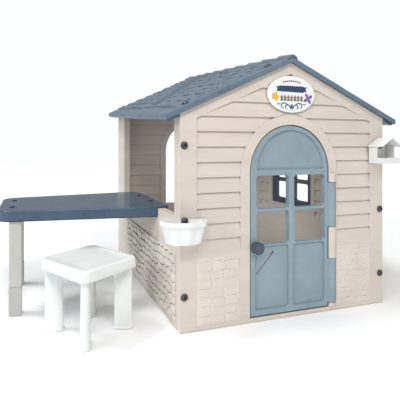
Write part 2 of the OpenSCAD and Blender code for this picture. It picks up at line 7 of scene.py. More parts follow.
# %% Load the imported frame
import json
import bmesh
import bpy
import numpy as np
from math import atan, cos, pi, radians, sin, sqrt, tan
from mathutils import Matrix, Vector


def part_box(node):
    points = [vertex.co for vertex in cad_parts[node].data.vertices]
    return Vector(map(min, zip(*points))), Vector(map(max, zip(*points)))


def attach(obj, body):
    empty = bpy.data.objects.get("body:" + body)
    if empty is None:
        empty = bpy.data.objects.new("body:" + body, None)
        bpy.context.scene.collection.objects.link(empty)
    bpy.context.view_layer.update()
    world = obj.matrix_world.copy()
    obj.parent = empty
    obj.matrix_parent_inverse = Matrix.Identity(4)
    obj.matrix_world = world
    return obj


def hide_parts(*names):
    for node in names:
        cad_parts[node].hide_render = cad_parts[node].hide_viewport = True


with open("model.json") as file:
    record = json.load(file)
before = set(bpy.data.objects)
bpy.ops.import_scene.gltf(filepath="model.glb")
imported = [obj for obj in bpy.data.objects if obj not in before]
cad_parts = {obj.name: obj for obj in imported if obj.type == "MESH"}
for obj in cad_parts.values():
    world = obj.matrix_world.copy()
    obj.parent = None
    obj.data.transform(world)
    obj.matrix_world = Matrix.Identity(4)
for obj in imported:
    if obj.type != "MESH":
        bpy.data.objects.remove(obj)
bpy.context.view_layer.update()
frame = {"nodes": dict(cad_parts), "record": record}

# %% [markdown]
# ## The house corner
# All sizes below are millimetres from the front left bottom corner of the walls: X along the
# front, Y to the back, Z up. One function turns them into the frame's metres. Its zero point
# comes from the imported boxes, so nothing has to be fitted by hand.

# %% House millimetres to frame metres
MM = 0.001
front_low, front_high = (np.array(c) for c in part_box("front_wall"))
side_low, side_high = (np.array(c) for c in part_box("left_wall"))
back_high = np.array(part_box("back_wall")[1])
wall = (side_high[0] - side_low[0]) / MM
corner = np.array([front_low[0], side_low[1] - wall * MM, 0.0])
house_w = (front_high[0] - front_low[0]) / MM
house_d = (back_high[1] - corner[1]) / MM


def place(x, y, z):
    """Frame position of house millimetres: the corner plus a thousandth of each length."""
    return corner + MM * np.stack(np.broadcast_arrays(x, y, z), axis=-1).astype(float)


def local(node):
    """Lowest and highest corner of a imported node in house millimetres."""
    return [(np.array(c) - corner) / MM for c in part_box(node)]


print("house", round(house_w), "x", round(house_d), "mm, walls", round(wall), "mm")

# %% [markdown]
# ## One way to make a mesh
# Every new surface is a grid of points, worked out at once as a numpy array. A row can run round
# in a ring, and the first and last rows can be closed with one face each. Closed shells get
# their faces turned outwards at the end, because a mirrored shape comes out inside out.

# %% Meshes from grids
BODY_OF = {n: b for b, ns in frame["record"]["behaviour"]["bodies"].items() for n in ns}
made = []


def grid_faces(rows, cols, ring):
    """Corner numbers of the quads between neighbouring points of a rows by cols grid."""
    i, j = np.meshgrid(np.arange(rows - 1), np.arange(cols if ring else cols - 1), indexing="ij")
    k = (j + 1) % cols
    here, below = i * cols, (i + 1) * cols
    return np.stack([here + j, here + k, below + k, below + j], -1).reshape(-1, 4)


def to_mesh(name, points, faces, sharp=32):
    """A mesh of these points and faces, turned outwards, smooth but for edges over sharp degrees."""
    mesh = bpy.data.meshes.new(name)
    mesh.from_pydata(points.tolist(), [], faces)
    work = bmesh.new()
    work.from_mesh(mesh)
    bmesh.ops.remove_doubles(work, verts=work.verts, dist=1e-6)
    bmesh.ops.recalc_face_normals(work, faces=work.faces)
    work.to_mesh(mesh)
    work.free()
    mesh.polygons.foreach_set("use_smooth", np.ones(len(mesh.polygons), bool))
    mesh.set_sharp_from_angle(angle=radians(sharp))
    return mesh


def piece(name, mesh, finish, node=None, body=None):
    """Puts a mesh in the scene as one piece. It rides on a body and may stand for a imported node."""
    obj = bpy.data.objects.new(name, mesh)
    bpy.context.scene.collection.objects.link(obj)
    mesh.materials.clear()
    mesh.materials.append(finish)
    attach(obj, body or BODY_OF[node])
    if node and body is None:
        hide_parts(node)
    made.append((name, len(mesh.polygons)))
    return obj


def shell(name, grids, sharp=32):
    """One mesh of several shells. Each is a grid whose rows are rings, closed at both ends."""
    points, faces, start = [], [], 0
    for grid in grids:
        rows, cols = grid.shape[:2]
        points.append(grid.reshape(-1, 3))
        faces += (grid_faces(rows, cols, True) + start).tolist()
        faces.append(list(range(start, start + cols)))
        faces.append(list(range(start + (rows - 1) * cols, start + rows * cols)))
        start += rows * cols
    return to_mesh(name, np.concatenate(points), faces, sharp)


def relief(name, grids, back, sharp=40):
    """Panels with a flat back: each front is a grid, its rim drops by the vector back, and one
    many-sided face closes it behind."""
    points, faces, start = [], [], 0
    for grid in grids:
        rows, cols = grid.shape[:2]
        number = np.arange(rows * cols).reshape(rows, cols) + start
        rim = np.concatenate([number[0, :-1], number[:-1, -1], number[-1, :0:-1], number[:0:-1, 0]])
        behind = np.arange(len(rim)) + start + rows * cols
        flat = grid.reshape(-1, 3)
        points += [flat, flat[rim - start] + back]
        faces += (grid_faces(rows, cols, False) + start).tolist()
        faces += np.stack([rim, np.roll(rim, -1), np.roll(behind, -1), behind], -1).tolist()
        faces.append(behind.tolist())
        start = int(behind[-1]) + 1
    return to_mesh(name, np.concatenate(points), faces, sharp)


print("a 3 by 4 grid has", len(grid_faces(3, 4, False)), "faces, as a ring", len(grid_faces(3, 4, True)))

# %% [markdown]
# ## Camera, floor and light
# The house is seen from its left front corner, a little below the eaves. The camera looks
# level, so upright edges stay upright, and its frame is shifted instead of tilted. A white room
# has big windows on several sides, so three suns with wide, soft discs stand for them: one high
# in front, one from above and one cool one from the left. Two near lamps fill in the rest.

# %% Camera
EYE = (-588.5, -1477.3, 789.8)  # house millimetres
YAW = radians(17.2)  # to the right of straight ahead
scene = bpy.context.scene
camera = bpy.data.objects.new("camera", bpy.data.cameras.new("camera"))
scene.collection.objects.link(camera)
camera.location = place(*EYE)
camera.rotation_euler = (radians(90), 0, -YAW)
camera.data.sensor_width = 36
camera.data.lens = 34.0
camera.data.shift_x = 0.125
camera.data.shift_y = -0.135
camera.data.clip_end = 60
scene.camera = camera
print("camera at", place(*EYE).round(3))

# %% Floor
FLOOR_HALF = 14  # metres
FLOOR_DROP = 0.0006  # metres, so that feet and floor never share a plane
floor_mesh = bpy.data.meshes.new("floor")
floor_plan = np.array([(-1, -1), (1, -1), (1, 1), (-1, 1)]) * FLOOR_HALF
floor_corners = [(x, y, -FLOOR_DROP) for x, y in floor_plan.tolist()]
floor_mesh.from_pydata(floor_corners, [], [(0, 1, 2, 3)])
floor = bpy.data.objects.new("floor", floor_mesh)
scene.collection.objects.link(floor)
print("floor", 2 * FLOOR_HALF, "m square")

# %% Light
scene.view_settings.view_transform = "Standard"


def aim(obj, way):
    """Turns a lamp so that its beam runs along way: tilt from straight down, then turn about Z."""
    way = np.array(way, float) / np.linalg.norm(way)
    obj.rotation_euler = (np.arccos(-way[2]), 0, np.arctan2(-way[0], way[1]))


def sun(name, way, strength, soft, colour):
    """A far lamp with parallel beams along way. Soft is its width in degrees, as for a big window."""
    data = bpy.data.lights.new(name, "SUN")
    data.energy = strength
    data.angle = radians(soft)
    data.color = colour
    obj = bpy.data.objects.new(name, data)
    scene.collection.objects.link(obj)
    aim(obj, way)


def soft_box(name, where, way, size, watts, colour):
    """A near, square lamp of size metres. Its light falls off with distance, unlike a sun's."""
    data = bpy.data.lights.new(name, "AREA")
    data.size = size
    data.energy = watts
    data.color = colour
    obj = bpy.data.objects.new(name, data)
    scene.collection.objects.link(obj)
    obj.location = where
    obj.visible_camera = False
    aim(obj, way)


under_roof = place(house_w / 2, house_d * 0.42, 900)
sun("high window", (-0.10, 0.62, -0.80), 0.70, 14, (1.0, 0.98, 0.95))
sun("skylight", (0.48, -0.15, -0.86), 1.40, 16, (0.96, 0.985, 1.0))
sun("left window", (0.88, 0.30, -0.36), 0.95, 18, (0.84, 0.92, 1.0))
soft_box("front box", (-0.95, -2.0, 2.4), (0.50, 0.80, -0.30), 0.6, 22, (1.0, 0.985, 0.96))
soft_box("lamp under the roof", under_roof, (0, 0.35, -1), 0.5, 1.3, (0.93, 0.97, 1.0))
print("lamps", [lamp.name for lamp in bpy.data.lights])


# %% World, and a helper that adds a node
def add(tree, kind, inputs=None, **settings):
    """Adds one node. Inputs are values or other nodes' sockets, and settings are its own choices."""
    node = tree.nodes.new("ShaderNode" + kind)
    for key, value in settings.items():
        setattr(node, key, value)
    for key, value in (inputs or {}).items():
        if isinstance(value, bpy.types.NodeSocket):
            tree.links.new(value, node.inputs[key])
        else:
            node.inputs[key].default_value = value
    return node


# The room's walls look white, but they send out less light than that, so the lamps shape the house
ROOM_LIGHT = 0.40
world = bpy.data.worlds.new("room")
scene.world = world
world.use_nodes = True
room = world.node_tree
room.nodes.clear()
seen = add(room, "LightPath").outputs["Is Camera Ray"]
level = add(room, "MapRange", {"Value": seen, "To Min": ROOM_LIGHT, "To Max": 1.0}).outputs["Result"]
air = add(room, "Background", {"Color": (0.985, 0.992, 1.0, 1), "Strength": level})
add(room, "OutputWorld", {"Surface": air.outputs["Background"]})
print("room light", ROOM_LIGHT)

# %% [markdown]
# ## Finishes
# Two plastics make nearly everything. The walls, roof and door are blow-moulded polyethylene:
# hollow panels with a waxy, matt skin, soft sink marks a hand wide, and an orange-peel grain.
# The table, stool and small parts are injection-moulded polypropylene, harder and glossier.
# Both refract at about 1.5. Shade falls in grooves and inner corners, and it is painted there:
# a darker colour comes in where little open air is near. A real grain is about a millimetre
# wide, too fine to show at this distance, so it is drawn several millimetres wide. Colours are
# written as on a paint chart and turned linear.

# %% Colour and scale
def paint(code):
    """Linear red, green, blue and alpha of an sRGB hex code, by the sRGB curve."""
    c = np.array([int(code[i:i + 2], 16) for i in (1, 3, 5)]) / 255
    return (*np.where(c <= 0.04045, c / 12.92, ((c + 0.055) / 1.055) ** 2.4), 1.0)


def per_mm(size):
    """Noise scale, in features per metre, for a feature of this many millimetres."""
    return 1.0 / (size * MM)


print("mid grey is", round(float(paint("#808080")[0]), 3), "in linear light")


# %% Moulded plastic
def moulded(name, light, dark, rough, peel=9.0, peel_depth=0.06, sink=110, sink_depth=0.9,
            streak=(1, 1, 1), mottle=140, ior=1.5, scuff=0.05, groove_shade=None, reach=9.0, glow=0.0):
    """A moulded plastic: two near shades drift over mottle mm, the skin has a grain of peel mm
    and sink marks of sink mm, and scuffs change the roughness by scuff. Depths are in mm. Painted
    shade in the groove colour lies where the air round a point is closed in within reach mm.
    Streak stretches the drift along the axes where it is small."""
    mat = bpy.data.materials.new(name)
    mat.use_nodes = True
    t = mat.node_tree
    t.nodes.clear()
    where = add(t, "TexCoord").outputs["Object"]
    long = add(t, "Mapping", {"Vector": where, "Scale": streak}).outputs["Vector"]
    drift = add(t, "TexNoise", {"Vector": long, "Scale": per_mm(mottle), "Detail": 5.0, "Roughness": 0.62})
    shade = add(t, "MapRange", {"Value": drift.outputs["Fac"], "From Min": 0.32, "From Max": 0.68})
    colour = add(t, "Mix", {0: shade.outputs["Result"], 6: paint(dark), 7: paint(light)}, data_type="RGBA")
    # Painted shade: the colour is mixed towards the darker groove colour where little open air is near
    open_air = add(t, "AmbientOcclusion", {"Distance": reach * MM}, samples=6)
    unshaded = add(t, "MapRange", {"Value": open_air.outputs["AO"], "From Min": 0.25, "From Max": 0.85})
    with_painted_shade = add(t, "Mix", {0: unshaded.outputs["Result"], 6: paint(groove_shade or dark), 7: colour.outputs[2]},
                data_type="RGBA")
    rub = add(t, "TexNoise", {"Vector": where, "Scale": per_mm(35), "Detail": 6.0, "Roughness": 0.7})
    matt = add(t, "MapRange", {"Value": rub.outputs["Fac"], "From Min": 0.3, "From Max": 0.7,
                               "To Min": rough - scuff, "To Max": rough + scuff})
    fine = add(t, "TexNoise", {"Vector": where, "Scale": per_mm(peel), "Detail": 2.0})
    wide = add(t, "TexNoise", {"Vector": where, "Scale": per_mm(sink), "Detail": 1.0})
    skin = add(t, "Bump", {"Height": fine.outputs["Fac"], "Distance": peel_depth * MM, "Strength": 1.0})
    form = add(t, "Bump", {"Height": wide.outputs["Fac"], "Distance": sink_depth * MM, "Strength": 1.0,
                           "Normal": skin.outputs["Normal"]})
    body = add(t, "BsdfPrincipled", {"Base Color": with_painted_shade.outputs[2], "Roughness": matt.outputs["Result"],
                                     "IOR": ior, "Normal": form.outputs["Normal"]})
    if glow:
        body.inputs["Emission Color"].default_value = paint(light)
        body.inputs["Emission Strength"].default_value = glow
    add(t, "OutputMaterial", {"Surface": body.outputs["BSDF"]})
    return mat


print("a 9 mm grain has a noise scale of", round(per_mm(9)), "per metre")

# %% Finishes of the big panels
# Matt, warm walls whose two shades lie in long, faint, level bands, with painted shade under the boards
cream = moulded("cream blow-moulded polyethylene", "#d7cdc3", "#cdc3b8", 0.55,
                streak=(0.25, 0.25, 2.2), groove_shade="#857b72")
# The same plastic on the stones: the tops catch the light, and the joints are darkened with painted shade
stone = moulded("cream blow-moulded polyethylene, stone relief", "#dcd3ca", "#d2c9bf", 0.42,
                peel=11, peel_depth=0.3, groove_shade="#6a6561", reach=12)
# A roof with a deeper grain and a soft sheen, and painted shade nearly black between the slates
slate = moulded("slate blue blow-moulded polyethylene", "#6a7989", "#596978", 0.40,
                peel=12, peel_depth=0.3, groove_shade="#27303a", reach=22)
# A smoother door with painted blue shade round its panels
mist = moulded("mist blue blow-moulded polyethylene", "#8fa2ab", "#8396a0", 0.38, groove_shade="#3e5463", reach=11)
print("panel finishes", [m.name for m in (cream, stone, slate, mist)])

# %% Finishes of the small parts
# Injection moulding copies a polished mould, so these are flat and glossy, with small highlights
# and painted shade in their corners
navy = moulded("navy injection-moulded polypropylene", "#4b5767", "#3f4a5a", 0.32,
               sink_depth=0.3, groove_shade="#2b333d")
# On the dark table top the light rolls over the rounded edge as one long highlight
table_blue = moulded("dark blue injection-moulded polypropylene", "#465b71", "#3c5066", 0.30,
                     sink_depth=0.4, groove_shade="#222c38")
# White and light grey parts stay bright, with painted soft grey shade in their corners
white = moulded("white injection-moulded polypropylene", "#edefed", "#e6e8e6", 0.3,
                sink_depth=0.3, scuff=0.03, groove_shade="#aab0ae")
pearl = moulded("light grey injection-moulded polypropylene", "#e6e6e4", "#dfdfdc", 0.34,
                sink_depth=0.3, groove_shade="#a9a9a5")
# The legs were pressed through a die, which leaves faint lines along them
leg_grey = moulded("grey extruded polypropylene tube", "#c9c8c2", "#c0bfb9", 0.34,
                   streak=(3, 3, 0.15), sink_depth=0.3)
# The sleeves at their feet are moulded, a little warmer and duller
foot_grey = moulded("warm grey injection-moulded polypropylene", "#bfbcb6", "#b6b3ad", 0.4, sink_depth=0.3)
# Screw caps shine most of all, with one sharp highlight each
cap_dark = moulded("dark injection-moulded nylon", "#4a474d", "#39363c", 0.13,
                   peel=4, peel_depth=0.01, sink_depth=0.02, scuff=0.03)
# The pins are seen only between the hinge sleeves, dark and satin
pin_steel = moulded("dark drawn steel", "#4b4a4d", "#3a393c", 0.35,
                    streak=(3, 3, 0.1), sink_depth=0.02, ior=2.0)
small = (navy, table_blue, white, pearl, leg_grey, foot_grey, cap_dark, pin_steel)
print("small part finishes", [m.name for m in small])

# %% Finishes of the prints and the floor
# Screen print lies on its film as an even, satin coat of ink
PRINT = dict(rough=0.4, peel=3, mottle=12, sink_depth=0.0)
print_navy = moulded("navy screen print on film", "#35456a", "#2d3b5c", **PRINT)
print_gold = moulded("yellow screen print on film", "#e6bf4b", "#d9a93a", **PRINT)
print_taupe = moulded("taupe screen print on film", "#a3968d", "#968a81", **PRINT)
print_plum = moulded("violet screen print on film", "#8d6aa8", "#7b5a97", **PRINT)
# The floor's paint glows a little, as if light came back to it from the whole room
floor_white = moulded("white painted studio floor", "#f7f7f7", "#f5f5f5", 0.9,
                      peel=20, sink_depth=0.0, glow=0.10)
floor_mesh.materials.append(floor_white)
print("materials", len(bpy.data.materials))

# %% [markdown]
# ## Rounded panels
# Each wall and the door came out of a metal mould whose edges were milled round, so light runs
# along every edge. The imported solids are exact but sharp. A copy has its triangles joined into
# whole faces first, because a bevel needs clean edges, and then each edge is rounded.

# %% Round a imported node's edges
def rounded(node, radius, finish, segments=2, angle=33):
    """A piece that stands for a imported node: its flat triangles become whole faces, and edges
    that turn by more than angle degrees are rounded to a radius in mm."""
    work = bmesh.new()
    work.from_mesh(frame["nodes"][node].data)
    bmesh.ops.remove_doubles(work, verts=work.verts, dist=2e-6)
    bmesh.ops.dissolve_limit(work, angle_limit=radians(0.6), verts=work.verts, edges=work.edges)
    edges = [e for e in work.edges if len(e.link_faces) == 2 and e.calc_face_angle(0) > radians(angle)]
    bmesh.ops.bevel(work, geom=edges, offset=radius * MM, segments=segments, profile=0.5,
                    affect="EDGES", offset_type="OFFSET", clamp_overlap=False)
    mesh = bpy.data.meshes.new(node)
    work.to_mesh(mesh)
    work.free()
    for extra in ("custom_normal", "sharp_face", "sharp_edge"):
        if extra in mesh.attributes:
            mesh.attributes.remove(mesh.attributes[extra])
    mesh.polygons.foreach_set("use_smooth", np.ones(len(mesh.polygons), bool))
    mesh.set_sharp_from_angle(angle=radians(40))
    obj = piece(node + "_look", mesh, finish, node)
    flat = obj.modifiers.new("flat faces stay flat", "WEIGHTED_NORMAL")
    flat.keep_sharp = True


print("front wall as packed:", len(frame["nodes"]["front_wall"].data.polygons), "triangles")

# %% Walls, door and shutters
for node_name in ("front_wall", "back_wall", "left_wall", "right_wall"):
    rounded(node_name, 1.6, cream)
rounded("ridge_beam", 2.0, cream)
rounded("door_leaf", 2.8, mist, 3)
rounded("shutter_front", 2.5, navy)
rounded("shutter_back", 2.5, navy)
rounded("door_knob_front", 1.6, navy)
rounded("door_knob_back", 2.5, navy, 3)
rounded("table_leg_front", 4.0, leg_grey, 3)
rounded("table_leg_back", 4.0, leg_grey, 3)
rounded("table_feet", 4.0, foot_grey, 3)
rounded("table_top", 6.0, table_blue, 3)
rounded("feeder_body", 1.2, pearl)
rounded("feeder_roof", 2.0, pearl)
rounded("name_plaque", 2.0, white, 3)
rounded("door_hinge_pin", 0.6, pin_steel)
rounded("shutter_pins", 0.6, pin_steel)
print("rounded pieces", made)

# %% [markdown]
# ## Stones under the boards
# Below the boards the panels are moulded as a rubble wall: stones a hand wide with sunk joints.
# Each stone grows from a seed. A point belongs to its nearest seed, and the joint runs where
# the second nearest is just as near, so the height comes from the gap between two distances.

# %% Stone relief
ROUNDNESS = 2.6  # power of the distance: 2 gives straight joints, more makes squarer stones


def stones(u, v, size, seed, joint=7.0, height=5.0, bond=0.5, jitter=0.3):
    """Heights in mm over points (u, v): nearest seeds d1 and d2 give a joint where d2 - d1 is
    small. Height rises from the joint as 1 - exp(-(gap / joint)^2), times the stone's own level.
    Every other row of seeds is shifted by bond, and each seed strays by jitter."""
    rng = np.random.default_rng(seed)
    nu, nv = int(np.ptp(u) / size[0]) + 3, int(np.ptp(v) / size[1]) + 3
    su, sv = np.meshgrid(np.arange(nu) - 0.5, np.arange(nv) - 0.5)
    odd_row = np.arange(nv)[:, None] % 2
    su = u.min() + (su + bond * odd_row + rng.uniform(-jitter, jitter, su.shape)) * size[0]
    sv = v.min() + (sv + rng.uniform(-jitter, jitter, sv.shape)) * size[1]
    level = rng.uniform(0.6, 1.0, su.size)
    tip = rng.uniform(-0.035, 0.035, (su.size, 2))
    across = np.abs((u[..., None] - su.ravel()) / size[0])
    upward = np.abs((v[..., None] - sv.ravel()) / size[1])
    far = across ** ROUNDNESS + upward ** ROUNDNESS
    order = np.argpartition(far, 1, axis=-1)[..., :2]
    near = np.take_along_axis(far, order, -1) ** (1 / ROUNDNESS)
    own = np.take_along_axis(order, near.argmin(-1)[..., None], -1)[..., 0]
    gap = np.abs(near[..., 0] - near[..., 1]) * min(size)
    rise = 1 - np.exp(-(gap / joint) ** 2)
    tilt = tip[own, 0] * (u - su.ravel()[own]) + tip[own, 1] * (v - sv.ravel()[own])
    rough = 0.12 * np.sin(u / 7.1 + 3 * np.sin(v / 9.3)) * np.sin(v / 6.3 + 2 * np.sin(u / 11.0))
    return height * rise * (level[own] + tilt / size[1] * 6 + rough * 0.4)


def fade(u, v, edge=6.0):
    """1 inside a patch and 0 on its rim, over edge mm, so the relief grows out of the wall."""
    du = np.minimum(u - u.min(), u.max() - u)
    dv = np.minimum(v - v.min(), v.max() - v)
    return np.clip(np.minimum(du, dv) / edge, 0, 1)


def bedded(u, v, **how):
    """Stone heights that end 0.5 mm under the wall's face at the patch's rim, so no edge shows."""
    return (stones(u, v, **how) + 0.55) * fade(u, v) - 0.5


def patch(u0, u1, v0, v1, step):
    """An even grid over a rectangle, with points about step mm apart."""
    return np.meshgrid(np.arange(u0, u1 + 1, step), np.arange(v0, v1 + 1, step), indexing="ij")


sample = bedded(*patch(0, 200, 0, 200, 4), size=(60, 40), seed=1)
print("stone heights from", round(sample.min(), 1), "to", round(sample.max(), 1), "mm")


# %% Lay the stones on the walls
def stone_wall(name, fronts, way_in):
    """The stones of one wall as one piece, closed 3 mm behind their fronts along way_in."""
    mesh = relief(name, fronts, 3 * MM * np.array(way_in))
    piece(name, mesh, stone, body="house")


u, v = patch(52, 907, 28, 328, 3.0)
rise = bedded(u, v, size=(57, 35), seed=11, joint=4.4, height=9.0, jitter=0.27)
stone_wall("left_wall_stones", [place(-rise, u, v)], (1, 0, 0))

# Left of the door the stones lie in columns, right of it in long, flat courses
fronts = []
for u0, u1, how in ((78, 286, dict(size=(64, 39), seed=3, bond=0.12, jitter=0.10)),
                    (816, 1020, dict(size=(92, 27), seed=5, bond=0.5, jitter=0.3))):
    u, v = patch(u0, u1, 20, 308, 2.6)
    fronts.append(place(u, -bedded(u, v, joint=2.8, height=2.8, **how), v))
stone_wall("front_wall_stones", fronts, (0, 1, 0))

u, v = patch(78, house_w - 78, 22, 272, 3.4)
rise = bedded(u, v, size=(66, 40), seed=8, joint=3.2, height=3.4)
stone_wall("back_wall_stones", [place(u, house_d + rise, v)], (0, -1, 0))

u, v = patch(70, house_d - 180, 22, 306, 3.4)
rise = bedded(u, v, size=(66, 38), seed=9, joint=3.2, height=3.4)
stone_wall("right_wall_stones", [place(house_w + rise, u, v)], (-1, 0, 0))
print("stones", made[-4:])

# %% [markdown]
# ## Roof slabs
# Each slab is one blow-moulded panel. Its outline is carried from the front to the back, and
# its top is pressed into slates: eight courses, each thickest at its lower edge, with edges
# that wander a little. Ridge tiles overlap like a row of fallen books along the left slab.

# %% Roof measures
APEX = 1163.0  # height of the slabs' underside over the middle of the front wall
RISE = radians(4.8)  # the ridge climbs this much to the back
SLOPE = 0.448
THICK = 36.0
VERGE = 16.0  # how far the slabs stand out over both gables
EAVE = 68.0  # and over the side walls
TILE = 135.0  # one slate or ridge tile along the house
climb = tan(RISE)
lean = atan(SLOPE)
slab = (house_w / 2 + EAVE - THICK / 2 * (1 + sin(lean))) / cos(lean)


def roof_point(side, run, up, y):
    """House position of a roof point: run is the way down the slope from the ridge and up the
    height over the underside, both square to the slab. The ridge climbs to the back."""
    x = run * cos(lean) + up * sin(lean)
    z = -run * sin(lean) + up * cos(lean)
    return place(house_w / 2 + side * x, y, APEX + z / cos(RISE) + y * climb)


print("slab", round(slab), "mm down the slope, which leans", round(np.degrees(lean), 1), "degrees")

# %% Slates
COURSES = 8
FIRST_EDGE, LAST_EDGE = 62.0, 14.0  # from the eave to the first course, from the last to the ridge
LOT = 14  # random strays drawn for a course, more than it has slates


def slates(run, y, seed):
    """Slate height in mm. Course k starts at an edge line that wanders with y. Inside a course the
    height falls from its lower edge to its upper one, dips at the joints between slates, and
    each slate rises a little towards the back."""
    rng = np.random.default_rng(seed)
    pitch = (slab - LAST_EDGE - FIRST_EDGE) / COURSES
    line_y = y[0]
    up_slope = slab - run[:, 0]
    edges, slate_of, along = [], [], []
    for k in range(COURSES + 1):
        shift = (0.5 * (k % 2)) * TILE + rng.uniform(-12, 12)
        cell = (line_y + shift) / TILE
        number = np.floor(cell).astype(int) + 2
        part = cell - np.floor(cell)
        own = rng.uniform(-5, 5, LOT)[number % LOT]
        edge = FIRST_EDGE + k * pitch + own - 5.0 * np.sin(pi * part) ** 2
        edges.append(edge + 1.5 * np.sin(line_y / 17 + k))
        slate_of.append(rng.uniform(0.8, 1.15, LOT)[number % LOT])
        along.append(part)
    edges = np.array(edges)
    k = (up_slope[:, None, None] >= edges[None]).sum(1) - 1
    inside = (k >= 0) & (k < COURSES)
    k = np.clip(k, 0, COURSES - 1)
    col = np.arange(len(line_y))[None, :].repeat(len(up_slope), 0)
    low, high = edges[k, col], edges[k + 1, col]
    part = np.clip((up_slope[:, None] - low) / (high - low), 0, 1)
    side = np.array(along)[k, col]
    joint = np.minimum(side, 1 - side) * TILE
    dip = 1 - 0.75 * np.exp(-(joint / 3.6) ** 2)
    height = (1.0 + 6.4 * (1 - part) + 3.4 * side) * np.array(slate_of)[k, col] * dip
    height += 0.35 * np.sin(up_slope[:, None] / 5.5 + 4 * np.sin(line_y[None] / 60)) * (1 - 0.5 * part)
    return np.where(inside, height, 0.0)


def border(y, run, edge):
    """0 on the smooth rim of the slab and 1 inside it, with a short ramp."""
    inner = np.minimum(y - edge, house_d - edge - y)
    return np.clip(inner / 5.0, 0, 1) * np.clip((run - 8) / 4.0, 0, 1)


print("slates", COURSES, "courses of", round((slab - LAST_EDGE - FIRST_EDGE) / COURSES), "mm")

# %% Keep the seats of the screws flat
# Each screw's distance from the ridge, measured level, and its Y. The left slab alone has the
# middle one.
SEATS = [(x, y) for x in (110, house_w / 2 - 33) for y in (18, house_d - 22)]
MIDDLE_SEAT = (72, house_d * 0.455)


def clear_seats(run, y, left):
    """0 within 19 mm of a screw's axis and 1 from 23 mm on, so that each head lies on bare slab."""
    keep = np.ones_like(run)
    for seat_x, seat_y in SEATS + ([MIDDLE_SEAT] if left else []):
        seat_run = (seat_x - THICK * sin(lean)) / cos(lean)
        keep = np.minimum(keep, np.clip((np.hypot(run - seat_run, y - seat_y) - 19) / 4, 0, 1))
    return keep


print("flat seats", 2 * len(SEATS) + 1)

# %% Fold across the left slab
FOLD_FOOT, FOLD_HEAD = np.array([556.0, 432.0]), np.array([0.0, 950.0])  # (run, y) near eave and ridge


def fold(run, y, rise):
    """Adds a flat valley between two ribs to the slate heights, on the line from eave to ridge. With
    off the distance from the line, slates fade by exp(-(off / 44)^6) and each rib is a bell,
    exp(-((off - 16) / 5.5)^2), 12 mm tall."""
    way = (FOLD_HEAD - FOLD_FOOT) / np.linalg.norm(FOLD_HEAD - FOLD_FOOT)
    off = (run - FOLD_FOOT[0]) * way[1] - (y - FOLD_FOOT[1]) * way[0]
    on = np.clip((slab - 70 - run) / 20, 0, 1) * border(y, run, 30)
    ribs = np.exp(-((off - 16) / 5.5) ** 2) + np.exp(-((off + 16) / 5.5) ** 2)
    return rise * (1 - on * np.exp(-(off / 44) ** 6)) + on * 12.0 * ribs


print("fold", round(np.linalg.norm(FOLD_HEAD - FOLD_FOOT)), "mm long")

# %% Slab as a profile carried along the house
LIP, LIP_UP = 15.4, 12.0  # the verge's lip is this wide, and its underside this high over the slab's
RIM = 26  # smooth border round the slates


def roof_slab(side, left):
    """Rings round the slab's section at each y: along the top from the eave to the ridge, down
    the ridge face, back along the underside and round the nose at the eave."""
    rows = np.linspace(-VERGE, house_d + VERGE, 236)
    step = np.array([LIP - 0.02, LIP + 0.02])
    rows = np.sort(np.concatenate([rows, rows[0] + step, rows[-1] - step]))
    runs = np.linspace(slab, THICK * -tan(lean), 158)
    run, y = np.meshgrid(runs, rows, indexing="ij")
    rise = slates(run, y, 21 if left else 22) * border(y, run + THICK * tan(lean), RIM)
    if left:
        rise = fold(run, y, rise)
    rise *= clear_seats(run, y, left)
    verge = np.minimum(rows + VERGE, house_d + VERGE - rows)
    soft = np.clip(1 - verge / 6.0, 0, 1) ** 2
    floor_up = np.where(verge < LIP, LIP_UP, 0.0)[None]
    upper = roof_point(side, run, THICK + rise - 3.2 * soft, y)
    row = rows[None]
    t = np.linspace(0, 1, 4)[1:-1, None]
    face_up = THICK + (floor_up - THICK) * t
    ridge_face = roof_point(side, -face_up * tan(lean), face_up, row)
    along = np.linspace(0, 1, 10)[:, None]
    under_runs = slab * along - floor_up * tan(lean) * (1 - along)
    under = roof_point(side, under_runs, floor_up + 0 * under_runs, row)
    a = np.linspace(-pi / 2, pi / 2, 14)[1:-1, None]
    bulge = 1.0 + 0.06 * np.cos(a) - 0.06 * soft
    nose_up = np.maximum(THICK / 2 * (1 + np.sin(a)), floor_up)
    nose = roof_point(side, slab + THICK / 2 * np.cos(a) * bulge, nose_up, row)
    ring = np.concatenate([upper, ridge_face, under, nose], 0)
    return np.swapaxes(ring, 0, 1)


left_grid = roof_slab(-1, True)
right_grid = roof_slab(1, False)
print("each slab has", right_grid.shape[0], "rings of", right_grid.shape[1], "points")


# %% Ridge tiles on the left slab
def ridge_tiles():
    """The lip over the ridge as overlapping tiles: a low arch across, and along the house each
    tile rises towards its back end and then drops by its own thickness."""
    rows = np.linspace(-VERGE, house_d + VERGE, 420)
    part = ((rows - 77) / TILE) % 1.0
    crest = 5.0 + 9.0 * part - 6.0 * np.clip((part - 0.94) / 0.06, 0, 1)
    crest[(rows < 2) | (rows > house_d - 2)] = 8.0
    across = np.linspace(-1, 1, 25)[:, None]
    x = across * (26.0 + 1.5 * part[None])
    base = THICK / cos(lean) - SLOPE * np.abs(x)
    round_top = SLOPE * (np.abs(x) - np.sqrt(x ** 2 + 9 ** 2)) + 4
    z = base + round_top + crest[None] * (1 - across ** 6) + 1.0
    z[[0, -1]] = base[[0, -1]] - 1.0
    foot = base - np.where(x < 0, 6.0, 0.0)
    y = rows[None] + 0 * x
    steep = 1 / cos(RISE)
    upper = place(house_w / 2 + x, y, APEX + z * steep + y * climb)
    lower = place(house_w / 2 + x, y, APEX + foot * steep + y * climb)[::-1]
    return np.swapaxes(np.concatenate([upper, lower[1:-1]], 0), 0, 1)


piece("roof_left_look", shell("roof_left_look", [left_grid, ridge_tiles()], 38), slate, "roof_left")
piece("roof_right_look", shell("roof_right_look", [right_grid], 38), slate, "roof_right")
print("roof", made[-2:])

